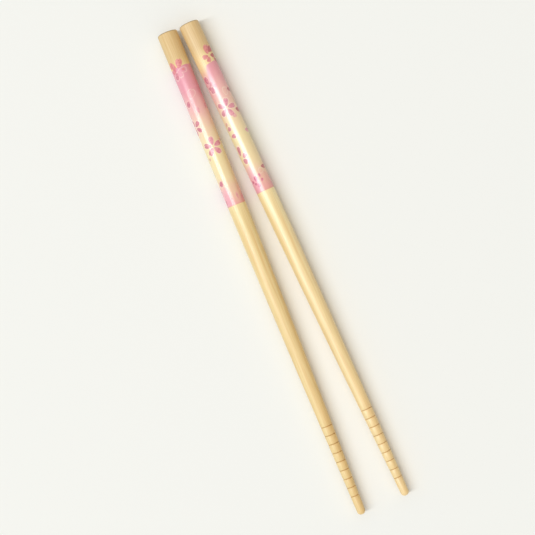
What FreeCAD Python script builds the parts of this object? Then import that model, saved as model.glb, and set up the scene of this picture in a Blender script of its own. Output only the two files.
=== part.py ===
import FreeCAD, Part
import os
import Sketcher

# A pair of turned wooden chopsticks, lying side by side with their handles together and their tips apart.
# Frame: origin on the table under the middle of the pair, +X towards the tips, +Z up.
# Each stick is one turned piece. Its own axis is its local X axis, from the butt end at 0 to the tip.

# Driving dimensions, in millimetres and degrees. The handle tapers straight from the butt to its end.
# From there the shank swells out from its straight chord by the bow at mid-length, down to the tip.
# The diameters at both ends are those of the sharp edges, before they are rounded.
SIZES = {
    "stick_length": 225.0,
    "butt_diameter": 8.85,
    "butt_rounding": 0.8,
    "handle_length": 96.0,
    "handle_end_diameter": 7.95,
    "shank_bow": 0.17,
    "tip_diameter": 3.6,
    "tip_rounding": 1.5,
    "ring_count": 9,
    "ring_pitch": 4.1,
    "last_ring_from_tip": 8.9,
    "ring_width": 0.42,
    "ring_depth": 0.26,
    "butt_gap": 1.25,
    "spread_angle": 2.72,
}

# The two sticks, each with the side of the pair's centre line that it lies on.
STICKS = {"left_chopstick": -1, "right_chopstick": 1}

# The shank is turned in this many straight tapers, whose ends lie on its bowed outline.
SHANK_TAPERS = 4

SHANK_LENGTH = "(Sizes.stick_length - Sizes.handle_length)"
HANDLE_TAPER = "atan((Sizes.butt_diameter - Sizes.handle_end_diameter) / 2 / Sizes.handle_length)"

# How a sketch numbers the two ends of a line, and its own origin.
START = 1
END = 2
ORIGIN = (-1, 1)
SAME_PLACE = 1e-6


def add_sheet(doc):
    """Put every driving dimension into a named cell."""
    sheet = doc.addObject("Spreadsheet::Sheet", "Sizes")
    for row, (name, value) in enumerate(SIZES.items(), start=1):
        sheet.set(f"A{row}", name)
        sheet.set(f"B{row}", str(value))
        sheet.setAlias(f"B{row}", name)
    doc.recompute()
    return sheet


def add_sketch(body, name):
    """Add a sketch on the body's own XY plane, so that its horizontal axis is the stick's axis."""
    plane = next(item for item in body.Origin.OriginFeatures if item.Role == "XY_Plane")
    sketch = body.newObject("Sketcher::SketchObject", name)
    sketch.AttachmentSupport = (plane, "")
    sketch.MapMode = "FlatFace"
    return sketch


def shank_radius(x):
    """Return the expression of the shank's radius at a distance from the butt, itself an expression."""
    share = f"(({x} - Sizes.handle_length) / {SHANK_LENGTH})"
    drop = f"(Sizes.handle_end_diameter - Sizes.tip_diameter) / 2 * {share}"
    swell = f"4 * Sizes.shank_bow * {share} * (1 - {share})"
    return f"Sizes.handle_end_diameter / 2 - {drop} + {swell}"


def draw_closed(sketch, corners):
    """Draw a closed run of lines through corners, each an expression along and one out from the axis."""
    points = []
    for along, out in corners:
        x = float(sketch.evalExpression(along))
        y = float(sketch.evalExpression(out))
        points.append(FreeCAD.Vector(x, y, 0))
    lines = []
    for start, end in zip(points, points[1:] + points[:1]):
        lines.append(sketch.addGeometry(Part.LineSegment(start, end)))
    for line, following in zip(lines, lines[1:] + lines[:1]):
        sketch.addConstraint(Sketcher.Constraint("Coincident", line, END, following, START))
    for line, point, (along, out) in zip(lines, points, corners):
        for kind, value, size in (("DistanceX", point.x, along), ("DistanceY", point.y, out)):
            index = sketch.addConstraint(Sketcher.Constraint(kind, *ORIGIN, line, START, value))
            sketch.setExpression(f"Constraints[{index}]", size)


def outline_corners():
    """Return half of the stick's lengthwise section: butt face, handle, the shank's tapers, tip face."""
    corners = [("0", "0"), ("0", "Sizes.butt_diameter / 2")]
    for number in range(SHANK_TAPERS + 1):
        x = f"(Sizes.handle_length + {number} / {SHANK_TAPERS} * {SHANK_LENGTH})"
        corners.append((x, shank_radius(x)))
    corners.append(("Sizes.stick_length", "0"))
    return corners


def ring_corners(number):
    """Return the V section of one ring groove, counted from the tip and as deep as the rest on the taper."""
    x = f"(Sizes.stick_length - Sizes.last_ring_from_tip - {number} * Sizes.ring_pitch)"
    bottom = f"{shank_radius(x)} - Sizes.ring_depth"
    lid = f"{shank_radius(x)} + Sizes.ring_depth"
    return [(f"{x} - Sizes.ring_width", lid), (x, bottom), (f"{x} + Sizes.ring_width", lid)]


def end_edge(shape, x):
    """Return the name of the round edge that ends the stick at a place along it."""
    for number, edge in enumerate(shape.Edges, start=1):
        curve = edge.Curve
        if isinstance(curve, Part.Circle) and abs(curve.Center.x - x) < SAME_PLACE:
            return f"Edge{number}"
    raise RuntimeError(f"no round edge at {x}")


def round_end(body, name, x, rounding):
    """Round one end's edge by a size given as an expression."""
    base = body.Tip
    fillet = body.newObject("PartDesign::Fillet", name)
    fillet.Base = (base, [end_edge(base.Shape, x)])
    fillet.setExpression("Radius", rounding)
    body.Document.recompute()


def add_stick(doc, sheet, label):
    """Build one stick: turn the outline, cut the ring grooves, round both ends."""
    body = doc.addObject("PartDesign::Body", label)
    body.Label = label

    outline = add_sketch(body, f"{label}_outline")
    draw_closed(outline, outline_corners())
    turned = body.newObject("PartDesign::Revolution", f"{label}_turned")
    turned.Profile = outline
    turned.ReferenceAxis = (outline, ["H_Axis"])
    turned.Angle = 360
    doc.recompute()
    whole = turned.Shape.Volume

    rings = add_sketch(body, f"{label}_rings")
    for number in range(int(sheet.ring_count)):
        draw_closed(rings, ring_corners(number))
    groove = body.newObject("PartDesign::Groove", f"{label}_ring_grooves")
    groove.Profile = rings
    groove.ReferenceAxis = (rings, ["H_Axis"])
    groove.Angle = 360
    doc.recompute()
    if not groove.Shape.Volume < whole:
        raise RuntimeError(f"{label}: the ring grooves cut nothing")

    round_end(body, f"{label}_butt_edge", 0, "Sizes.butt_rounding")
    nose = "min(Sizes.tip_rounding; 0.9 * Sizes.tip_diameter / 2)"
    round_end(body, f"{label}_tip_edge", sheet.stick_length, nose)
    return body


def lay_down(body, side):
    """Lay a stick on the table on its handle, with its tip just clear, turned by half of the spread."""
    yaw = f"{side} * Sizes.spread_angle / 2"
    x = f"-Sizes.stick_length / 2 * cos({HANDLE_TAPER}) * cos(Sizes.spread_angle / 2)"
    y = f"{side} * (Sizes.butt_diameter + Sizes.butt_gap) / 2"
    z = f"Sizes.butt_diameter / 2 * cos({HANDLE_TAPER})"
    place = f"placement(vector({x}; {y}; {z}); rotation({yaw}; {HANDLE_TAPER}; 0))"
    body.setExpression("Placement", place)


def check(doc, bodies):
    """Stop if any feature failed or any stick isn't one sound solid."""
    for item in doc.Objects:
        if "Invalid" in item.State or "Error" in item.State:
            raise RuntimeError(f"{item.Name}: {item.State}")
    for body in bodies:
        shape = body.Shape
        if shape.isNull() or not shape.isValid() or len(shape.Solids) != 1 or shape.Volume <= 0:
            raise RuntimeError(f"{body.Label} isn't one sound solid")


def main():
    """Build both sticks, lay them down and write each to its own file."""
    doc = FreeCAD.newDocument("chopsticks")
    sheet = add_sheet(doc)
    bodies = []
    for label, side in STICKS.items():
        body = add_stick(doc, sheet, label)
        lay_down(body, side)
        bodies.append(body)
    doc.recompute()
    check(doc, bodies)

    os.makedirs("parts", exist_ok=True)
    for body in bodies:
        body.Shape.exportStep(f"parts/{body.Label}.step")
        balance = body.Shape.CenterOfGravity.x
        print(f"{body.Label}: {body.Shape.Volume:.1f} mm3, balances at x = {balance:.1f} mm")


main()
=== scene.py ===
"""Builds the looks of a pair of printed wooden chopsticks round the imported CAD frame.

Each stick is turned as one blank, laid where the CAD part lies, and dressed in lacquered wood with a blossom
print round its handle. Lengths are in metres, and the print is laid out in millimetres and degrees.
"""
import logging
import math
from dataclasses import dataclass
from enum import Enum
from itertools import pairwise

import bpy
from mathutils import Euler, Matrix, Vector


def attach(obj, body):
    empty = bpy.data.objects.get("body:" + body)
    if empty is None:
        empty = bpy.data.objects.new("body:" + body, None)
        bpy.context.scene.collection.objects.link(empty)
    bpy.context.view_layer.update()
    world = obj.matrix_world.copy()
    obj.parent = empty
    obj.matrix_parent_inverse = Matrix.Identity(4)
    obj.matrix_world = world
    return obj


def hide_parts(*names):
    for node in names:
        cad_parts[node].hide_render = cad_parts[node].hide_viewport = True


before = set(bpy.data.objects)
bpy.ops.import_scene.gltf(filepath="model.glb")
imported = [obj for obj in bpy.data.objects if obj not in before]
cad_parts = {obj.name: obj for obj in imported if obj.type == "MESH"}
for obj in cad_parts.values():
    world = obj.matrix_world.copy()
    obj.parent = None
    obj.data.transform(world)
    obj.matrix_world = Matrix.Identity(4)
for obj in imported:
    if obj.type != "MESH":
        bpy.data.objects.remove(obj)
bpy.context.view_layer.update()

LOG = logging.getLogger("chopsticks")
MILLIMETRE = 0.001
# Noise seldom strays more than a quarter from its middle, so this brings it to about 1
NOISE_GAIN = 4.0
Colour = tuple[float, float, float, float]
Triple = tuple[float, float, float]
Span = tuple[float, float]
Socket = bpy.types.NodeSocket
Value = float | Socket
Paint = Colour | Socket


def ink(red: int, green: int, blue: int) -> Colour:
    """Turn a colour as a screen shows it, 0 to 255, into the linear colour that nodes take.

    Args:
        red: Red part.
        green: Green part.
        blue: Blue part.

    Returns:
        The linear colour with full alpha.
    """
    parts = []
    for part in (red, green, blue):
        share = part / 255
        parts.append(share / 12.92 if share <= 0.04045 else ((share + 0.055) / 1.055) ** 2.4)
    return (*parts, 1.0)


def deselect_all() -> None:
    """Leave edit mode and deselect every object."""
    if bpy.context.object and bpy.context.object.mode != "OBJECT":
        bpy.ops.object.mode_set(mode="OBJECT")
    bpy.ops.object.select_all(action="DESELECT")


def choose(thing: bpy.types.Object) -> None:
    """Make one object the only selected one, and active.

    Args:
        thing: The object.
    """
    deselect_all()
    thing.select_set(True)
    bpy.context.view_layer.objects.active = thing


@dataclass(frozen=True)
class Ease:
    """A number that eases from its start to its end while another one goes from low to high."""

    low: float
    high: float
    start: float = 0.0
    end: float = 1.0


class NodeBoard:
    """Adds nodes to one node tree, each after the nodes that it reads."""

    def __init__(self, tree: bpy.types.NodeTree) -> None:
        """Keep the tree that the nodes go into."""
        self.tree = tree

    def add(self, kind: str, **settings: object) -> bpy.types.Node:
        """Add one node.

        Args:
            kind: The node's type name without its ShaderNode prefix, or a full type name.
            settings: Properties to set on it.

        Returns:
            The new node.
        """
        full = kind if kind.startswith("Node") else f"ShaderNode{kind}"
        node = self.tree.nodes.new(full)
        for name, value in settings.items():
            setattr(node, name, value)
        return node

    def feed(self, socket: Socket, value: object) -> None:
        """Link an output to an input, or set the input's own value.

        Args:
            socket: The input.
            value: The output, or the value.
        """
        if isinstance(value, Socket):
            self.tree.links.new(value, socket)
        else:
            socket.default_value = value

    def math(self, operation: str, *values: Value) -> Socket:
        """Work out one number.

        Args:
            operation: The Math node's operation.
            values: Its inputs in order.

        Returns:
            The result's socket.
        """
        node = self.add("Math", operation=operation)
        for socket, value in zip(node.inputs, values):
            self.feed(socket, value)
        return node.outputs[0]

    def step(self, value: Value, low: Value, high: Value, start: Value = 0.0, end: Value = 1.0) -> Socket:
        """Ease a number from one value to another.

        Args:
            value: The number that is read.
            low: Where the change begins.
            high: Where the change ends.
            start: The result up to low.
            end: The result from high on.

        Returns:
            The eased value's socket.
        """
        node = self.add("MapRange", interpolation_type="SMOOTHSTEP")
        names = ("Value", "From Min", "From Max", "To Min", "To Max")
        for name, given in zip(names, (value, low, high, start, end)):
            self.feed(node.inputs[name], given)
        return node.outputs["Result"]

    def ease(self, value: Value, change: Ease) -> Socket:
        """Ease a number by a change that is known beforehand."""
        return self.step(value, change.low, change.high, change.start, change.end)

    def distance(self, first: Value, second: Value) -> Socket:
        """Work out the distance that two steps at right angles lead to."""
        squares = [self.math("MULTIPLY", length, length) for length in (first, second)]
        return self.math("SQRT", self.math("ADD", *squares))

    def mix(self, share: Value, first: Paint, second: Paint, mode: str = "MIX") -> Socket:
        """Mix two colours.

        Args:
            share: How much of the second colour is taken.
            first: The colour underneath.
            second: The colour on top.
            mode: The way of mixing.

        Returns:
            The mixed colour's socket.
        """
        node = self.add("Mix", data_type="RGBA", blend_type=mode)
        for index, given in zip((0, 6, 7), (share, first, second)):
            self.feed(node.inputs[index], given)
        return node.outputs[2]

    def ramp(self, value: Value, stops: list[tuple[float, Colour]]) -> Socket:
        """Look a colour up along a ramp.

        Args:
            value: The number that is looked up.
            stops: Places from 0 to 1 with their colours, in order.

        Returns:
            The colour's socket.
        """
        node = self.add("ValToRGB")
        elements = node.color_ramp.elements
        elements[0].position, elements[0].color = stops[0]
        elements[1].position, elements[1].color = stops[-1]
        for place, colour in stops[1:-1]:
            elements.new(place).color = colour
        self.feed(node.inputs[0], value)
        return node.outputs[0]

    def vector(self, *parts: Value) -> Socket:
        """Join up to three numbers into a vector.

        Args:
            parts: The numbers in order.

        Returns:
            The vector's socket.
        """
        node = self.add("CombineXYZ")
        for socket, value in zip(node.inputs, parts):
            self.feed(socket, value)
        return node.outputs[0]

    def part(self, vector: Socket, axis: int) -> Socket:
        """Read one part of a vector, which takes less of the renderer's memory than splitting it.

        Args:
            vector: The vector that is read.
            axis: The part's number, from 0.

        Returns:
            The part's socket.
        """
        node = self.add("VectorMath", operation="DOT_PRODUCT")
        self.feed(node.inputs[0], vector)
        node.inputs[1].default_value = [float(number == axis) for number in range(3)]
        return node.outputs["Value"]

    def place(self, vector: Socket, location: Vector, rotation: Euler, scale: Triple) -> Socket:
        """Read a vector in the axes of something that is moved, turned and scaled.

        Args:
            vector: The vector that is read.
            location: Where those axes start.
            rotation: How they are turned.
            scale: How long their units are.

        Returns:
            The vector's socket in those axes.
        """
        node = self.add("Mapping", vector_type="TEXTURE")
        names = ("Vector", "Location", "Rotation", "Scale")
        for name, given in zip(names, (vector, location, rotation, scale)):
            self.feed(node.inputs[name], given)
        return node.outputs[0]

    def noise(self, vector: Socket, detail: float = 2.0, roughness: float = 0.5) -> Socket:
        """Read noise of unit scale.

        Args:
            vector: Where it is read, already scaled.
            detail: How many finer layers it has.
            roughness: How strong they are.

        Returns:
            The noise's value, about 0.5 on average.
        """
        node = self.add("TexNoise")
        self.feed(node.inputs["Vector"], vector)
        node.inputs["Scale"].default_value = 1.0
        node.inputs["Detail"].default_value = detail
        node.inputs["Roughness"].default_value = roughness
        return node.outputs[0]

    def scaled(self, vector: Socket, factors: Triple) -> Socket:
        """Multiply a vector's parts, each by its own factor.

        Args:
            vector: The vector that is read.
            factors: The three factors.

        Returns:
            The product's socket.
        """
        node = self.add("VectorMath", operation="MULTIPLY")
        self.feed(node.inputs[0], vector)
        node.inputs[1].default_value = factors
        return node.outputs[0]


@dataclass(frozen=True)
class StickSizes:
    """Sizes of one turned stick in metres, as in the CAD part but for its rounder, wider ring grooves."""

    length: float = 0.225
    butt_diameter: float = 0.00885
    butt_rounding: float = 0.0008
    handle_length: float = 0.096
    handle_end_diameter: float = 0.00795
    shank_bow: float = 0.00017
    tip_diameter: float = 0.0036
    tip_rounding: float = 0.0015
    ring_count: int = 9
    ring_pitch: float = 0.0041
    last_ring_from_tip: float = 0.0089
    ring_half_width: float = 0.00025
    ring_depth: float = 0.00026
    butt_gap: float = 0.00125
    spread: float = math.radians(2.72)
    sides: int = 96
    mesh_allowance: float = 0.000013
    rounding_steps: int = 9
    groove_steps: int = 5
    plain_step: float = 0.0075
    print_middle: float = 0.05

    @property
    def taper(self) -> float:
        """Return the slope of the handle's side, in radians."""
        return math.atan((self.butt_diameter - self.handle_end_diameter) / 2 / self.handle_length)

    def radius(self, x: float) -> float:
        """Return the plain outline's radius at a distance from the butt.

        Args:
            x: Distance from the butt end.

        Returns:
            The radius, with no rounding and no grooves.
        """
        butt, end, tip = self.butt_diameter / 2, self.handle_end_diameter / 2, self.tip_diameter / 2
        if x <= self.handle_length:
            return butt + (end - butt) * x / self.handle_length
        share = (x - self.handle_length) / (self.length - self.handle_length)
        return end + (tip - end) * share + 4 * self.shank_bow * share * (1 - share)

    def rings(self) -> list[float]:
        """Return where the ring grooves are, from the butt end, the last one first."""
        last = self.length - self.last_ring_from_tip
        return [last - number * self.ring_pitch for number in range(self.ring_count)]

    def outline(self) -> list[tuple[float, float]]:
        """Return the finished outline as stations from the butt to the tip.

        The CAD mesh has fewer sides, so this one is thinner by the allowance and stays inside its box.

        Returns:
            Pairs of distance from the butt end and radius.
        """
        stations = []
        for number in range(self.rounding_steps + 1):
            angle = math.pi / 2 * number / self.rounding_steps
            x = self.butt_rounding * (1 - math.cos(angle))
            stations.append((x, self.radius(x) - self.butt_rounding * (1 - math.sin(angle))))
        x = self.plain_step
        first_ring = min(self.rings()) - self.ring_half_width
        while x < first_ring - self.ring_half_width:
            stations.append((x, self.radius(x)))
            x += self.plain_step
        for ring in reversed(self.rings()):
            for number in range(-self.groove_steps, self.groove_steps + 1):
                share = number / self.groove_steps
                depth = self.ring_depth * (0.5 + 0.5 * math.cos(math.pi * share))
                x = ring + share * self.ring_half_width
                stations.append((x, self.radius(x) - depth))
        start = self.length - self.tip_rounding
        for number in range(self.rounding_steps + 1):
            angle = math.pi / 2 * number / self.rounding_steps
            x = start + self.tip_rounding * math.sin(angle)
            stations.append((x, self.radius(x) - self.tip_rounding * (1 - math.cos(angle))))
        return [(x, radius - self.mesh_allowance) for x, radius in stations]


class Side(Enum):
    """The two places in the pair, each with its side of the middle line."""

    LEFT = -1
    RIGHT = 1


class Tone(Enum):
    """How a petal is printed: filled in one of five inks, or only outlined."""

    DEEP = "deep"
    WARM = "warm"
    DUSK = "dusk"
    ROSE = "rose"
    SOFT = "soft"
    OUTLINE = "outline"


@dataclass(frozen=True)
class Petal:
    """One loose petal of the print.

    Its middle is given along the stick in millimetres and round it in degrees from the top to the right. Its
    notched tip points to the butt at turn 0, and to the right at 90.
    """

    along: float
    around: float
    length: float
    width: float
    turn: float = 0.0
    tone: Tone = Tone.DEEP


@dataclass(frozen=True)
class Blossom:
    """One whole blossom of five petals.

    Its first petal points to the butt at turn 0, and to the right at 90.
    """

    along: float
    around: float
    radius: float
    turn: float = 0.0
    tone: Tone = Tone.DEEP


@dataclass(frozen=True)
class WoodFinish:
    """Pale turned wood with a clear lacquer on the shank and a drier butt, with painted shade in its ring
    grooves and round its butt's rim.

    Places are in millimetres along the stick from the butt, or away from its axis.
    """

    early: Colour = ink(246, 225, 166)
    late: Colour = ink(234, 199, 135)
    butt: Colour = ink(221, 187, 132)
    tip: Colour = ink(230, 193, 130)
    fibre: Colour = ink(206, 162, 96)
    # Painted shade laid into the ring grooves, on top of the shading that their shape gives.
    groove: Colour = ink(172, 110, 20)
    # Darker olive over the butt face: darker end grain, deepest at the rounded rim, where it is painted
    # shade.
    rim: Colour = ink(130, 104, 60)
    grain_scale: Triple = (0.018, 0.55, 0.55)
    grain_contrast: Ease = Ease(0.3, 0.7)
    grain_roughness: float = 0.05
    fibre_scale: Triple = (0.07, 3.2, 3.2)
    fibre_contrast: Ease = Ease(0.42, 0.72)
    fibre_height: float = 0.006
    fibre_share: float = 0.32
    butt_fibre_share: float = 0.25
    end_fibre_share: Ease = Ease(0.02, 0.2, 0.35, 0.0)
    butt_share: Ease = Ease(11.0, 18.0, 0.8, 0.0)
    shank_share: Ease = Ease(80.0, 150.0, 0.0, 0.45)
    tip_share: Ease = Ease(200.0, 224.0, 0.0, 0.5)
    end_grain_and_rim_shade_share: Ease = Ease(0.15, 0.65, 0.75, 0.0)
    rim_shade_reach: Ease = Ease(3.2, 4.0, 0.25, 1.0)
    groove_shade_share: float = 0.48
    groove_reach: Ease = Ease(0.1, 0.25, 1.0, 0.0)
    lacquer_start: Span = (14.0, 24.0)
    worn_start: Span = (100.0, 165.0)
    butt_roughness: float = 0.55
    shank_roughness: float = 0.27
    tip_roughness: float = 0.46
    groove_roughness: float = 0.6
    print_roughness: float = 0.24
    print_start: Span = (18.0, 30.0)
    print_start_roughness: float = 0.16
    refraction: float = 1.6
    shine: float = 0.38


@dataclass(frozen=True)
class PetalInk:
    """The ink of one tone of petals: two mottled colours, how it covers and how much painted shade darkens
    it on the left side.
    """

    colour: Colour
    lighter: Colour
    cover: float = 0.93
    painted_shade_share: float = 0.0


@dataclass(frozen=True)
class PrintFinish:
    """The glossy transfer print: its colours along the stick, its edges and the painted shade laid on its
    petals on the left side. Lengths are in millimetres.
    """

    colours: tuple[tuple[float, Colour], ...] = (
        (15.0, ink(226, 143, 162)),
        (27.0, ink(233, 154, 164)),
        (34.0, ink(241, 180, 175)),
        (41.0, ink(243, 200, 176)),
        (48.0, ink(244, 216, 173)),
        (56.0, ink(243, 222, 167)),
        (68.0, ink(243, 217, 166)),
        (73.0, ink(241, 201, 167)),
        (78.0, ink(238, 167, 158)),
        (82.0, ink(232, 148, 142)),
    )
    outline: Colour = ink(252, 226, 206)
    # Painted shade: multiplied into the petal inks towards the stick's left side.
    painted_shade_colour: Colour = (0.84, 0.75, 0.72, 1.0)
    painted_shade_side: Span = (-0.8, -2.8)
    mottle_scale: Triple = (1.1, 1.1, 1.1)
    mottle_contrast: Ease = Ease(0.35, 0.65)
    border: Colour = ink(226, 160, 128)
    border_inset: float = 0.2
    border_reach: Ease = Ease(0.1, 0.35, 0.3, 0.0)
    blush: Colour = ink(243, 168, 184)
    blush_along: Ease = Ease(66.0, 74.0)
    blush_side: Ease = Ease(-0.5, -2.2, 0.0, 0.7)
    ramp_length: float = 100.0
    drift: float = 9.0
    drift_scale: Triple = (0.16, 0.3, 0.3)
    wave_scale: Triple = (0.0, 0.22, 0.22)
    late_side: Span = (-0.3, -2.4)
    start_softness: float = 0.12
    end_softness: float = 0.06
    petal_softness: float = 0.09
    outline_width: float = 0.26
    cover: float = 0.95
    thickness: float = 0.01


@dataclass(frozen=True)
class PrintLayout:
    """Where the print lies on one stick, and the blossoms and petals on it.

    Its start leans, so that it comes earlier on the right side by the lean. On the left side it can come
    later and fade in over a longer way. The slip moves the whole print along the stick, and its colours can
    run ahead. The line is how strongly the petals are outlined.
    """

    slip: float
    start: float
    start_wave: float
    lean: float
    late: float
    fade: float
    ahead: float
    line: float
    end: float
    blossoms: tuple[Blossom, ...]
    petals: tuple[Petal, ...]


INKS = {
    Tone.SOFT: PetalInk(ink(220, 127, 148), ink(234, 156, 165), cover=0.6, painted_shade_share=1.0),
    Tone.DEEP: PetalInk(ink(221, 128, 149), ink(235, 158, 166), painted_shade_share=1.0),
    Tone.WARM: PetalInk(ink(215, 115, 121), ink(229, 141, 137)),
    Tone.DUSK: PetalInk(ink(187, 82, 94), ink(202, 104, 109)),
    Tone.ROSE: PetalInk(ink(212, 96, 128), ink(224, 120, 146), painted_shade_share=0.7),
}

LEFT_WOOD = WoodFinish()
RIGHT_WOOD = WoodFinish(
    early=ink(252, 231, 172),
    late=ink(241, 206, 141),
    tip=ink(237, 201, 138),
    shank_roughness=0.33,
    print_roughness=0.3,
    shine=0.78,
)

LEFT_PRINT = PrintLayout(
    slip=-0.2,
    start=16.2,
    start_wave=0.4,
    lean=0.4,
    late=0.0,
    fade=0.15,
    ahead=0.0,
    line=0.4,
    end=79.9,
    blossoms=(
        Blossom(43.0, -66, 3.8, 54),
        Blossom(53.1, 1, 4.4, 3),
        Blossom(25.0, 138, 4.3, 10),
        Blossom(41.5, -158, 4.4, 40),
        Blossom(62.0, 160, 4.6, 0),
        Blossom(72.5, -122, 3.9, 30),
    ),
    petals=(
        Petal(14.8, -3, 4.2, 2.7, 19, Tone.WARM),
        Petal(15.1, -50, 4.3, 2.8, -42, Tone.WARM),
        Petal(19.7, -43, 3.4, 1.8, 204),
        Petal(17.4, -50, 2.6, 1.8, 235, Tone.WARM),
        Petal(17.7, 9, 1.3, 1.0, 98, Tone.WARM),
        Petal(17.9, 4, 3.2, 1.9, 98, Tone.OUTLINE),
        Petal(19.1, -17, 3.1, 1.8, 172, Tone.OUTLINE),
        Petal(28.9, -2, 3.9, 2.8, 30, Tone.OUTLINE),
        Petal(32.6, -45, 3.0, 2.0, 205),
        Petal(36.3, 0, 2.9, 1.2, 0, Tone.SOFT),
        Petal(35.4, 60, 2.6, 1.5, 20, Tone.SOFT),
        Petal(51.0, 70, 1.8, 1.3, 90, Tone.SOFT),
        Petal(57.9, -54, 1.4, 1.2, 0, Tone.SOFT),
        Petal(69.4, -45, 2.7, 2.2, 215),
        Petal(76.3, 26, 3.0, 0.9, 0, Tone.SOFT),
        Petal(77.5, 60, 2.6, 1.4, 0, Tone.SOFT),
        Petal(77.8, -66, 2.4, 1.4, 10, Tone.SOFT),
        Petal(33.5, 174, 2.5, 1.8, 60),
        Petal(49.5, 112, 2.2, 1.6, 200),
        Petal(67.0, 104, 2.4, 1.8, 30),
        Petal(56.0, -118, 2.6, 1.9, 140),
        Petal(27.0, -112, 2.6, 2.0, 300),
    ),
)

RIGHT_PRINT = PrintLayout(
    slip=-0.45,
    start=20.3,
    start_wave=0.3,
    lean=0.9,
    late=3.2,
    fade=4.2,
    ahead=2.5,
    line=0.6,
    end=79.5,
    blossoms=(
        Blossom(40.5, -5, 4.3, 17),
        Blossom(27.0, 165, 4.4, 15),
        Blossom(41.5, 128, 4.2, 50),
        Blossom(59.0, -142, 4.5, 5),
        Blossom(66.5, 138, 4.1, 20),
    ),
    petals=(
        Petal(14.1, 33, 4.3, 2.5, 12, Tone.WARM),
        Petal(14.4, 60, 3.8, 2.5, 58, Tone.DUSK),
        Petal(17.1, 7, 2.6, 1.9, 268, Tone.WARM),
        Petal(18.6, 20, 2.5, 1.7, 205, Tone.WARM),
        Petal(17.4, 60, 3.0, 2.1, 100, Tone.DUSK),
        Petal(19.4, 70, 2.5, 1.8, 130, Tone.DUSK),
        Petal(26.4, -51, 3.8, 2.3, 342),
        Petal(28.6, -32, 2.4, 1.6, 45, Tone.SOFT),
        Petal(30.1, -51, 1.8, 1.4, 235),
        Petal(31.3, -36, 3.1, 2.2, 188),
        Petal(29.8, -14, 2.2, 1.5, 100, Tone.SOFT),
        Petal(33.6, 32, 3.2, 2.0, 10, Tone.OUTLINE),
        Petal(33.3, 66, 2.4, 2.0, 100, Tone.DUSK),
        Petal(43.3, -20, 1.6, 1.0, 200, Tone.SOFT),
        Petal(44.6, 20, 2.4, 1.6, 170, Tone.SOFT),
        Petal(42.8, 64, 2.8, 2.1, 110, Tone.DUSK),
        Petal(47.1, -55, 1.9, 1.2, 20, Tone.SOFT),
        Petal(49.3, -50, 2.1, 1.8, 60),
        Petal(52.8, -40, 2.6, 1.9, 90),
        Petal(52.4, 64, 2.5, 2.0, 100),
        Petal(59.6, -53, 4.4, 1.9, 10),
        Petal(62.2, -28, 2.4, 1.9, 50),
        Petal(64.6, -38, 2.6, 2.3, 135),
        Petal(69.5, 60, 3.2, 1.9, 95, Tone.DUSK),
        Petal(70.9, 26, 2.3, 1.9, 30, Tone.OUTLINE),
        Petal(73.3, -27, 2.6, 1.6, 10, Tone.ROSE),
        Petal(74.3, -56, 1.5, 1.2, 290, Tone.ROSE),
        Petal(75.4, -40, 1.3, 1.1, 260, Tone.ROSE),
        Petal(76.4, -24, 2.0, 1.3, 160, Tone.ROSE),
        Petal(72.5, 4, 1.7, 0.9, 0, Tone.ROSE),
        Petal(74.7, 9, 1.5, 1.0, 30, Tone.ROSE),
        Petal(77.8, 66, 2.6, 2.0, 20, Tone.SOFT),
        Petal(35.0, -120, 2.5, 1.8, 40),
        Petal(50.0, 170, 2.4, 1.8, 120),
        Petal(72.0, -118, 2.5, 1.8, 220),
        Petal(20.5, -150, 2.6, 2.0, 330),
        Petal(74.0, 178, 2.2, 1.6, 80),
    ),
)


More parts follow.
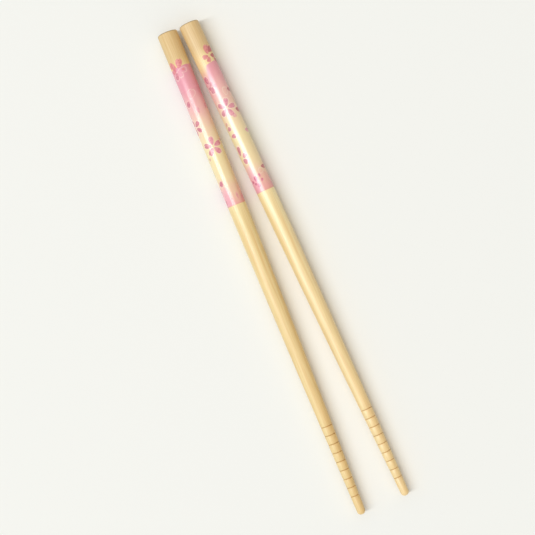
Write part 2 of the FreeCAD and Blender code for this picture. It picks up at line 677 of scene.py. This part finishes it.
class PetalShapes:
    """The node groups that draw a petal and a blossom.

    Each gives its depth, in millimetres inside the edge. A blossom's petal is sized in shares of its radius.
    """

    WIDENING = 0.3
    NOTCH_PLACE = 0.74
    NOTCH_SLOPE = 0.9
    PETAL_MIDDLE = 0.58
    PETAL_HALF_LENGTH = 0.42
    PETAL_HALF_WIDTH = 0.24

    def __init__(self) -> None:
        """Build both groups."""
        self.petal = self._petal_group()
        self.blossom = self._blossom_group()

    @staticmethod
    def _group(name: str) -> tuple[bpy.types.NodeTree, NodeBoard, bpy.types.Node]:
        """Start a group that takes a place and a size, and gives a depth.

        Args:
            name: The group's name.

        Returns:
            Its tree, the board for it and the node of its inputs.
        """
        tree = bpy.data.node_groups.new(name, "ShaderNodeTree")
        tree.interface.new_socket("Place", in_out="INPUT", socket_type="NodeSocketVector")
        tree.interface.new_socket("Size", in_out="INPUT", socket_type="NodeSocketFloat")
        tree.interface.new_socket("Depth", in_out="OUTPUT", socket_type="NodeSocketFloat")
        board = NodeBoard(tree)
        return tree, board, board.add("NodeGroupInput")

    def _petal_group(self) -> bpy.types.NodeTree:
        """Draw a petal that is narrow at its foot and notched at its tip.

        Returns:
            The group. Its place runs from -1 at the foot to 1 at the tip, and from -1 to 1 across.
        """
        tree, board, given = self._group("petal")
        along = board.part(given.outputs["Place"], 0)
        across = board.math("ABSOLUTE", board.part(given.outputs["Place"], 1))
        widening = board.math("MULTIPLY_ADD", along, self.WIDENING, 1.0)
        slim = board.math("DIVIDE", across, widening)
        inside = board.math("SUBTRACT", 1.0, board.distance(along, slim))
        rise = board.math("MULTIPLY_ADD", across, -self.NOTCH_SLOPE, along)
        notch = board.math("SUBTRACT", self.NOTCH_PLACE, rise)
        depth = board.math("MULTIPLY", board.math("MINIMUM", inside, notch), given.outputs["Size"])
        out = board.add("NodeGroupOutput")
        board.feed(out.inputs["Depth"], depth)
        return tree

    def _blossom_group(self) -> bpy.types.NodeTree:
        """Draw five petals round a middle.

        Returns:
            The group. Its place is 1 at the blossom's rim, along the first petal in its first part.
        """
        tree, board, given = self._group("blossom")
        ahead = board.part(given.outputs["Place"], 0)
        beside = board.part(given.outputs["Place"], 1)
        turned = board.math("ARCTAN2", beside, ahead)
        folded = board.math("WRAP", turned, math.pi / 5, -math.pi / 5)
        away = board.distance(ahead, beside)
        along = board.math("MULTIPLY", away, board.math("COSINE", folded))
        across = board.math("MULTIPLY", away, board.math("SINE", folded))
        from_middle = board.math("SUBTRACT", along, self.PETAL_MIDDLE)
        place = board.vector(
            board.math("DIVIDE", from_middle, self.PETAL_HALF_LENGTH),
            board.math("DIVIDE", across, self.PETAL_HALF_WIDTH),
        )
        shape = board.add("Group", node_tree=self.petal)
        board.feed(shape.inputs["Place"], place)
        half_width = board.math("MULTIPLY", given.outputs["Size"], self.PETAL_HALF_WIDTH)
        board.feed(shape.inputs["Size"], half_width)
        out = board.add("NodeGroupOutput")
        board.feed(out.inputs["Depth"], shape.outputs["Depth"])
        return tree


class StickMaterial:
    """Lacquered wood with the blossom print, in the axes of one stick."""

    def __init__(self, stick: "Stick", shapes: PetalShapes) -> None:
        """Start the material, and read the place on the stick.

        Args:
            stick: The stick that it is for.
            shapes: The groups that draw petals.
        """
        self.sizes = stick.sizes
        self.wood = stick.wood
        self.layout = stick.layout
        self.print = PrintFinish()
        self.print_radius = self.sizes.radius(self.sizes.print_middle) / MILLIMETRE
        self.shapes = shapes
        self.material = bpy.data.materials.new(f"{stick.name}_finish")
        self.material.use_nodes = True
        self.material.node_tree.nodes.clear()
        self.board = NodeBoard(self.material.node_tree)
        board = self.board
        source = board.add("TexCoord")
        self.own = board.place(source.outputs["Object"], stick.butt, stick.turn, (MILLIMETRE,) * 3)
        self.along = board.part(self.own, 0)
        self.side = board.part(self.own, 1)
        up = board.part(self.own, 2)
        self.away = board.distance(self.side, up)
        self.printed_along = board.math("SUBTRACT", self.along, self.layout.slip)
        self.top_sheet = self._sheet(self.side, up)
        other_side = board.math("MULTIPLY", self.side, -1.0)
        self.under_sheet = self._sheet(other_side, board.math("MULTIPLY", up, -1.0))

    def build(self) -> bpy.types.Material:
        """Build the whole material.

        Returns:
            The material.
        """
        board = self.board
        grain, fibres = self._grain()
        groove = self._groove()
        bare = self._wood_colour(grain, fibres, groove)
        film = self._film()
        fills, rims = self._petals()
        colour = self._print_colour(bare, film, fills, rims)
        printed = board.math("MAXIMUM", film, fills[Tone.WARM])
        shader = board.add("BsdfPrincipled")
        board.feed(shader.inputs["Base Color"], colour)
        board.feed(shader.inputs["Roughness"], self._roughness(printed, groove, grain))
        board.feed(shader.inputs["Normal"], self._relief(film, fibres))
        shader.inputs["IOR"].default_value = self.wood.refraction
        shader.inputs["Specular IOR Level"].default_value = self.wood.shine
        out = board.add("OutputMaterial")
        board.feed(out.inputs["Surface"], shader.outputs[0])
        return self.material

    def _sheet(self, side: Value, up: Value) -> Socket:
        """Unroll the print into a flat sheet, along the stick and round it from straight up."""
        angle = self.board.math("ARCTAN2", side, up)
        return self.board.vector(self.printed_along, self.board.math("MULTIPLY", angle, self.print_radius))

    def _grain(self) -> tuple[Socket, Socket]:
        """Grow the wood's grain.

        Returns:
            The broad grain and the fine fibres, each from 0 to 1.
        """
        board = self.board
        wood = self.wood
        broad = board.noise(board.scaled(self.own, wood.grain_scale), detail=3.0, roughness=0.55)
        fine = board.noise(board.scaled(self.own, wood.fibre_scale), detail=3.0, roughness=0.6)
        return board.ease(broad, wood.grain_contrast), board.ease(fine, wood.fibre_contrast)

    def _groove(self) -> Socket:
        """Find the ring grooves.

        Returns:
            1 at the bottom of a ring groove, 0 away from them.
        """
        board = self.board
        pitch = self.sizes.ring_pitch / MILLIMETRE
        first = min(self.sizes.rings()) / MILLIMETRE
        number = board.math("DIVIDE", board.math("SUBTRACT", self.along, first), pitch)
        nearest = board.math("MAXIMUM", board.math("ROUND", number), 0.0)
        nearest = board.math("MINIMUM", nearest, float(self.sizes.ring_count - 1))
        away = board.math("MULTIPLY", board.math("ABSOLUTE", board.math("SUBTRACT", number, nearest)), pitch)
        return board.ease(away, self.wood.groove_reach)

    def _wood_colour(self, grain: Value, fibres: Value, groove: Value) -> Socket:
        """Colour the bare wood, with painted shade in the ring grooves and round the butt's rim.

        Args:
            grain: The broad grain.
            fibres: The fine fibres.
            groove: The ring grooves.

        Returns:
            The colour's socket.
        """
        board = self.board
        wood = self.wood
        colour = board.mix(grain, wood.early, wood.late)
        butt_share = board.ease(self.along, wood.butt_share)
        colour = board.mix(butt_share, colour, wood.butt)
        colour = board.mix(board.ease(self.along, wood.shank_share), colour, wood.tip)
        colour = board.mix(board.ease(self.along, wood.tip_share), colour, wood.tip)
        fibre_share = board.math("MULTIPLY_ADD", butt_share, wood.butt_fibre_share, wood.fibre_share)
        fibre_share = board.math("ADD", fibre_share, board.ease(self.along, wood.end_fibre_share))
        colour = board.mix(board.math("MULTIPLY", fibres, fibre_share), colour, wood.fibre)
        # Darken the butt face: end grain, and a painted shade line round its rounded rim.
        edge = board.ease(self.away, wood.rim_shade_reach)
        rim = board.math("MULTIPLY", board.ease(self.along, wood.end_grain_and_rim_shade_share), edge)
        colour = board.mix(rim, colour, wood.rim)
        # Painted shade in the ring grooves.
        return board.mix(board.math("MULTIPLY", groove, wood.groove_shade_share), colour, wood.groove)

    def _film(self) -> Socket:
        """Find where the printed film lies.

        Returns:
            1 on the film and 0 off it.
        """
        board = self.board
        layout = self.layout
        finish = self.print
        wave = board.noise(board.scaled(self.own, finish.wave_scale), detail=1.0)
        wave = board.math("SUBTRACT", wave, 0.5)
        start = board.math("MULTIPLY_ADD", wave, NOISE_GAIN * layout.start_wave, layout.start)
        start = board.math("MULTIPLY_ADD", self.side, -layout.lean / self.print_radius, start)
        start = board.math("ADD", start, board.step(self.side, *finish.late_side, 0.0, layout.late))
        softness = board.step(self.side, *finish.late_side, finish.start_softness, layout.fade)
        past_start = board.math("SUBTRACT", self.printed_along, start)
        begun = board.step(past_start, board.math("MULTIPLY", softness, -1.0), softness)
        last = layout.end - finish.end_softness
        ended = board.step(self.printed_along, last, layout.end + finish.end_softness, 1.0, 0.0)
        return board.math("MULTIPLY", begun, ended)

    def _depth(self, item: Petal | Blossom) -> Socket:
        """Draw one petal or blossom, on the sheet whose seam is on the far side.

        Args:
            item: What is drawn.

        Returns:
            Its depth, in millimetres inside its edge.
        """
        board = self.board
        hidden = abs(item.around) > 90
        around = (item.around % 360 - 180) if hidden else item.around
        sheet = self.under_sheet if hidden else self.top_sheet
        spot = Vector((item.along, math.radians(around) * self.print_radius, 0))
        turn = Euler((0, 0, math.pi - math.radians(item.turn)))
        whole = isinstance(item, Blossom)
        reach = (item.radius, item.radius, 1) if whole else (item.length / 2, item.width / 2, 1)
        group = board.add("Group", node_tree=self.shapes.blossom if whole else self.shapes.petal)
        board.feed(group.inputs["Place"], board.place(sheet, spot, turn, reach))
        board.feed(group.inputs["Size"], item.radius if whole else item.width / 2)
        return group.outputs["Depth"]

    def _petals(self) -> tuple[dict[Tone, Socket], Socket]:
        """Draw every blossom and petal.

        Returns:
            The filled part for each tone, and the outlines of all of them together.
        """
        board = self.board
        depths = {}
        for item in (*self.layout.blossoms, *self.layout.petals):
            depth = self._depth(item)
            known = depths.get(item.tone)
            depths[item.tone] = depth if known is None else board.math("MAXIMUM", known, depth)
        soft = self.print.petal_softness
        width = self.print.outline_width
        fills = {tone: board.step(depth, -soft, soft) for tone, depth in depths.items()}
        nearest = board.math("MAXIMUM", depths[Tone.DEEP], depths[Tone.OUTLINE])
        rim = board.step(nearest, -width - soft, -width + soft)
        return fills, board.math("SUBTRACT", rim, fills[Tone.OUTLINE])

    def _print_colour(self, bare: Paint, film: Value, fills: dict[Tone, Socket], rims: Value) -> Socket:
        """Lay the film's colours, the outlines and the petals over the wood, the petals darkened by painted
        shade on the left side.

        Args:
            bare: The bare wood's colour.
            film: Where the film lies.
            fills: The filled petals of each tone.
            rims: The petals' outlines.

        Returns:
            The colour's socket.
        """
        board = self.board
        finish = self.print
        drift = board.noise(board.scaled(self.own, finish.drift_scale))
        drift = board.math("SUBTRACT", drift, 0.5)
        place = board.math("MULTIPLY_ADD", drift, finish.drift, self.printed_along)
        place = board.math("ADD", place, self.layout.ahead)
        field_colour = board.ramp(
            board.math("DIVIDE", place, finish.ramp_length),
            [(where / finish.ramp_length, colour) for where, colour in finish.colours],
        )
        blush_along = board.ease(place, finish.blush_along)
        blushing = board.math("MULTIPLY", blush_along, board.ease(self.side, finish.blush_side))
        field_colour = board.mix(blushing, field_colour, finish.blush)
        colour = board.mix(board.math("MULTIPLY", film, finish.cover), bare, field_colour)
        border_middle = self.layout.end - finish.border_inset
        from_border = board.math("ABSOLUTE", board.math("SUBTRACT", self.printed_along, border_middle))
        colour = board.mix(board.ease(from_border, finish.border_reach), colour, finish.border)
        outlined = board.math("MULTIPLY", board.math("MULTIPLY", rims, film), self.layout.line)
        colour = board.mix(outlined, colour, finish.outline)
        noise = board.noise(board.scaled(self.own, finish.mottle_scale), detail=1.0)
        mottle = board.ease(noise, finish.mottle_contrast)
        for tone, petal_ink in INKS.items():
            if tone in fills:
                mottled = board.mix(mottle, petal_ink.colour, petal_ink.lighter)
                # Painted shade: darken this ink towards the stick's left side.
                if petal_ink.painted_shade_share:
                    share = board.step(self.side, *finish.painted_shade_side, 0.0, petal_ink.painted_shade_share)
                    mottled = board.mix(share, mottled, finish.painted_shade_colour, "MULTIPLY")
                colour = board.mix(board.math("MULTIPLY", fills[tone], petal_ink.cover), colour, mottled)
        return colour

    def _roughness(self, printed: Value, groove: Value, grain: Value) -> Socket:
        """Set the gloss: glossy on the print, satin on the shank, drier at both ends.

        Args:
            printed: Where the print lies.
            groove: The ring grooves.
            grain: The broad grain.

        Returns:
            The roughness socket.
        """
        board = self.board
        wood = self.wood
        lacquered = board.step(self.along, *wood.lacquer_start, wood.butt_roughness, wood.shank_roughness)
        worn = board.step(self.along, *wood.worn_start, 0.0, wood.tip_roughness - wood.shank_roughness)
        rough = board.math("ADD", lacquered, worn)
        rough = board.math("MULTIPLY_ADD", grain, wood.grain_roughness, rough)
        print_begins = wood.print_roughness + wood.print_start_roughness
        print_rough = board.step(self.along, *wood.print_start, print_begins, wood.print_roughness)
        print_gap = board.math("SUBTRACT", print_rough, rough)
        rough = board.math("MULTIPLY_ADD", printed, print_gap, rough)
        groove_gap = board.math("SUBTRACT", wood.groove_roughness, rough)
        return board.math("MULTIPLY_ADD", groove, groove_gap, rough)

    def _relief(self, film: Value, fibres: Value) -> Socket:
        """Raise the fibres and the film's edge.

        Args:
            film: Where the printed film lies.
            fibres: The fine fibres.

        Returns:
            The normal's socket.
        """
        board = self.board
        open_wood = board.math("SUBTRACT", 1.0, film)
        texture = board.math("MULTIPLY", board.math("MULTIPLY", fibres, -self.wood.fibre_height), open_wood)
        height = board.math("MULTIPLY_ADD", film, self.print.thickness, texture)
        bump = board.add("Bump")
        bump.inputs["Distance"].default_value = MILLIMETRE
        board.feed(bump.inputs["Height"], height)
        return bump.outputs[0]


@dataclass
class Stick:
    """One chopstick of the pair: where it lies, its wood and its print."""

    side: Side
    sizes: StickSizes
    wood: WoodFinish
    layout: PrintLayout

    @property
    def name(self) -> str:
        """Return the stick's name."""
        return f"{self.side.name.lower()}_chopstick"

    @property
    def butt(self) -> Vector:
        """Return the middle of the butt end."""
        sizes = self.sizes
        x = -sizes.length / 2 * math.cos(sizes.taper) * math.cos(sizes.spread / 2)
        y = self.side.value * (sizes.butt_diameter + sizes.butt_gap) / 2
        return Vector((x, y, sizes.butt_diameter / 2 * math.cos(sizes.taper)))

    @property
    def turn(self) -> Euler:
        """Return how the stick is turned from the X axis."""
        return Euler((0, self.sizes.taper, self.side.value * self.sizes.spread / 2))

    def lay(self, blank: bpy.types.Object) -> bpy.types.Object:
        """Copy the blank and lay the copy in its place, with the place in its mesh.

        Args:
            blank: The turned blank, straight along X from the origin.

        Returns:
            The stick's object.
        """
        choose(blank)
        bpy.ops.object.duplicate(linked=False)
        piece = bpy.context.object
        piece.name = f"{self.name}_piece"
        piece.data.name = piece.name
        piece.location = self.butt
        piece.rotation_euler = self.turn
        bpy.ops.object.transform_apply(location=True, rotation=True, scale=True)
        return piece

    def dress(self, piece: bpy.types.Object, shapes: PetalShapes) -> None:
        """Give the stick its finish and its place in the frame.

        Args:
            piece: The stick's object.
            shapes: The groups that draw petals.
        """
        piece.data.materials.clear()
        piece.data.materials.append(StickMaterial(self, shapes).build())
        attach(piece, "root")
        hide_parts(self.name)
        LOG.info("%s: %d faces", piece.name, len(piece.data.polygons))


@dataclass
class Blank:
    """The turned blank that both sticks are copied from, and its map in shares of the map's side."""

    sizes: StickSizes
    smooth_angle: float = math.radians(50)
    bands: int = 3
    band_height: float = 0.295
    band_pitch: float = 0.305
    margin: float = 0.004
    cap_size: float = 0.036
    butt_cap_place: float = 0.06
    tip_cap_place: float = 0.16
    cap_height: float = 0.955
    end_flatness: float = 0.999

    def turn(self) -> bpy.types.Object:
        """Turn the blank along X, station by station from its butt face.

        Returns:
            The blank's object.
        """
        stations = self.sizes.outline()
        first_x, first_radius = stations[0]
        deselect_all()
        bpy.ops.mesh.primitive_circle_add(
            vertices=self.sizes.sides,
            radius=first_radius,
            fill_type="NGON",
            location=(first_x, 0, 0),
            rotation=(0, math.pi / 2, 0),
            enter_editmode=True,
        )
        bpy.ops.mesh.select_all(action="SELECT")
        for (x, radius), (next_x, next_radius) in pairwise(stations):
            bpy.ops.mesh.extrude_region_move(TRANSFORM_OT_translate={"value": (next_x - x, 0, 0)})
            growth = next_radius / radius
            bpy.ops.transform.resize(value=(1, growth, growth), center_override=(next_x, 0, 0))
        bpy.ops.mesh.select_all(action="SELECT")
        bpy.ops.mesh.normals_make_consistent(inside=False)
        bpy.ops.object.mode_set(mode="OBJECT")
        blank = bpy.context.object
        bpy.ops.object.transform_apply(location=True, rotation=True, scale=True)
        bpy.ops.object.shade_smooth_by_angle(angle=self.smooth_angle)
        self._lay_map(blank.data)
        return blank

    def _lay_map(self, mesh: bpy.types.Mesh) -> None:
        """Lay the bake's map: the side in three bands end to end, and the two ends as discs.

        Args:
            mesh: The blank's mesh, still along X.
        """
        for old in list(mesh.uv_layers):
            mesh.uv_layers.remove(old)
        layer = mesh.uv_layers.new(name="OFBake")
        band_length = self.sizes.length / self.bands
        widest = self.sizes.butt_diameter / 2
        for face in mesh.polygons:
            middle = face.center
            is_end = abs(face.normal.x) > self.end_flatness
            band = min(int(middle.x / band_length), self.bands - 1)
            middle_angle = math.atan2(middle.y, middle.z)
            for loop in face.loop_indices:
                spot = mesh.vertices[mesh.loops[loop].vertex_index].co
                if is_end:
                    across = self.butt_cap_place if middle.x < band_length else self.tip_cap_place
                    u = across + spot.y / widest * self.cap_size
                    v = self.cap_height + spot.z / widest * self.cap_size
                else:
                    step = math.atan2(spot.y, spot.z) - middle_angle
                    angle = middle_angle + (step + math.pi) % math.tau - math.pi
                    share = spot.x / band_length - band
                    u = self.margin + share * (1 - 2 * self.margin)
                    v = self.margin + band * self.band_pitch + (angle / math.tau + 0.5) * self.band_height
                layer.data[loop].uv = (u, v)


@dataclass(frozen=True)
class CameraSizes:
    """A short tele lens almost straight above the pair, rolled so that the pair lies aslant."""

    target: Triple = (-0.00244, -0.00554, 0.0)
    distance: float = 0.553
    elevation: float = math.radians(88.7)
    roll: float = math.radians(-23.478)
    lens: float = 85.3
    sensor: float = 36.0
    nearest: float = 0.05
    farthest: float = 20.0


@dataclass(frozen=True)
class SoftboxSizes:
    """The softbox: the way to it, its size and its power.

    It leans from straight above towards +Y, and ahead towards the tips. Its width lies across the pair.
    """

    lean: float = math.radians(-30)
    ahead: float = math.radians(-3.9)
    distance: float = 6.0
    width: float = 5.0
    length: float = 0.66
    power: float = 200.0
    colour: Triple = (0.945, 0.965, 1.0)


@dataclass
class Studio:
    """The floor, the sky, the softbox and the camera. None of it is part of the object.

    The reach of the sky's left and right parts is where they begin and are full, as a ray's sideways part.
    """

    floor_size: float = 6.0
    floor_colour: Colour = ink(241, 240, 233)
    floor_cloud: Colour = ink(255, 255, 255)
    floor_cloud_share: float = 0.02
    floor_cloud_scale: Triple = (4.0, 4.0, 4.0)
    floor_roughness: float = 0.9
    sky: Colour = (0.79, 0.748, 0.688, 1.0)
    left_sky: Colour = (0.2, 0.46, 0.78, 1.0)
    left_sky_reach: Span = (-0.35, -0.9)
    right_sky: Colour = (0.1, 0.09, 0.08, 1.0)
    right_sky_reach: Span = (0.35, 0.9)
    background: Colour = ink(249, 247, 240)
    camera: CameraSizes = CameraSizes()
    softbox: SoftboxSizes = SoftboxSizes()

    def build(self) -> None:
        """Set up the whole studio."""
        self._lay_floor()
        self._light_world()
        self._hang_softbox()
        self._set_camera()
        bpy.context.scene.view_settings.view_transform = "Standard"

    def _lay_floor(self) -> None:
        """Lay a plain pale floor."""
        deselect_all()
        bpy.ops.mesh.primitive_plane_add(size=self.floor_size, location=(0, 0, 0))
        floor = bpy.context.object
        floor.name = "studio_floor"
        material = bpy.data.materials.new("pale_floor")
        material.use_nodes = True
        material.node_tree.nodes.clear()
        board = NodeBoard(material.node_tree)
        source = board.add("TexCoord")
        cloud = board.noise(board.scaled(source.outputs["Object"], self.floor_cloud_scale))
        share = board.math("MULTIPLY", cloud, self.floor_cloud_share)
        colour = board.mix(share, self.floor_colour, self.floor_cloud)
        shader = board.add("BsdfPrincipled")
        board.feed(shader.inputs["Base Color"], colour)
        shader.inputs["Roughness"].default_value = self.floor_roughness
        shader.inputs["Specular IOR Level"].default_value = 0.0
        out = board.add("OutputMaterial")
        board.feed(out.inputs["Surface"], shader.outputs[0])
        floor.data.materials.append(material)

    def _light_world(self) -> None:
        """Fill with a soft sky that is dimmer low at both sides, and show a plain pale background."""
        world = bpy.data.worlds.new("studio_world")
        bpy.context.scene.world = world
        world.use_nodes = True
        world.node_tree.nodes.clear()
        board = NodeBoard(world.node_tree)
        path = board.add("LightPath")
        shown = board.math("MAXIMUM", path.outputs["Is Camera Ray"], path.outputs["Is Glossy Ray"])
        shown = board.math("MAXIMUM", shown, path.outputs["Is Transmission Ray"])
        fill = board.add("Background")
        sideways = board.part(board.add("TexCoord").outputs["Generated"], 1)
        colour = board.mix(board.step(sideways, *self.left_sky_reach), self.sky, self.left_sky)
        colour = board.mix(board.step(sideways, *self.right_sky_reach), colour, self.right_sky)
        board.feed(fill.inputs["Color"], colour)
        seen = board.add("Background")
        board.feed(seen.inputs["Color"], self.background)
        choice = board.add("MixShader")
        board.feed(choice.inputs[0], shown)
        board.feed(choice.inputs[1], fill.outputs[0])
        board.feed(choice.inputs[2], seen.outputs[0])
        out = board.add("OutputWorld")
        board.feed(out.inputs["Surface"], choice.outputs[0])

    def _hang_softbox(self) -> None:
        """Hang the softbox over the pair."""
        sizes = self.softbox
        data = bpy.data.lights.new("softbox", "AREA")
        data.shape = "RECTANGLE"
        data.size = sizes.width
        data.size_y = sizes.length
        data.energy = sizes.power
        data.color = sizes.colour
        box = bpy.data.objects.new(data.name, data)
        bpy.context.scene.collection.objects.link(box)
        way = Vector((math.tan(sizes.ahead), math.tan(sizes.lean), 1)).normalized()
        across = Vector((1, 0, 0)).cross(way).normalized()
        along = way.cross(across)
        turn = Matrix((across, along, way)).transposed()
        box.matrix_world = Matrix.Translation(way * sizes.distance) @ turn.to_4x4()

    def _set_camera(self) -> None:
        """Set the camera at the photograph's viewing angle."""
        sizes = self.camera
        data = bpy.data.cameras.new("camera")
        data.sensor_width = sizes.sensor
        data.lens = sizes.lens
        data.clip_start = sizes.nearest
        data.clip_end = sizes.farthest
        camera = bpy.data.objects.new("camera", data)
        bpy.context.scene.collection.objects.link(camera)
        back = Vector((-math.cos(sizes.elevation), 0, math.sin(sizes.elevation)))
        ahead = -back
        right = ahead.cross(Vector((-1, 0, 0))).normalized()
        up = right.cross(ahead)
        rolled_right = math.cos(sizes.roll) * right + math.sin(sizes.roll) * up
        rolled_up = math.cos(sizes.roll) * up - math.sin(sizes.roll) * right
        turn = Matrix((rolled_right, rolled_up, back)).transposed()
        spot = Vector(sizes.target) + back * sizes.distance
        camera.matrix_world = Matrix.Translation(spot) @ turn.to_4x4()
        bpy.context.scene.camera = camera


def main() -> None:
    """Build both sticks and the studio round them."""
    logging.basicConfig(level=logging.INFO, format="%(message)s")
    sizes = StickSizes()
    shapes = PetalShapes()
    blank = Blank(sizes).turn()
    sticks = (
        Stick(Side.LEFT, sizes, LEFT_WOOD, LEFT_PRINT),
        Stick(Side.RIGHT, sizes, RIGHT_WOOD, RIGHT_PRINT),
    )
    for stick in sticks:
        stick.dress(stick.lay(blank), shapes)
    bpy.data.objects.remove(blank)
    Studio().build()


if __name__ == "__main__":
    main()
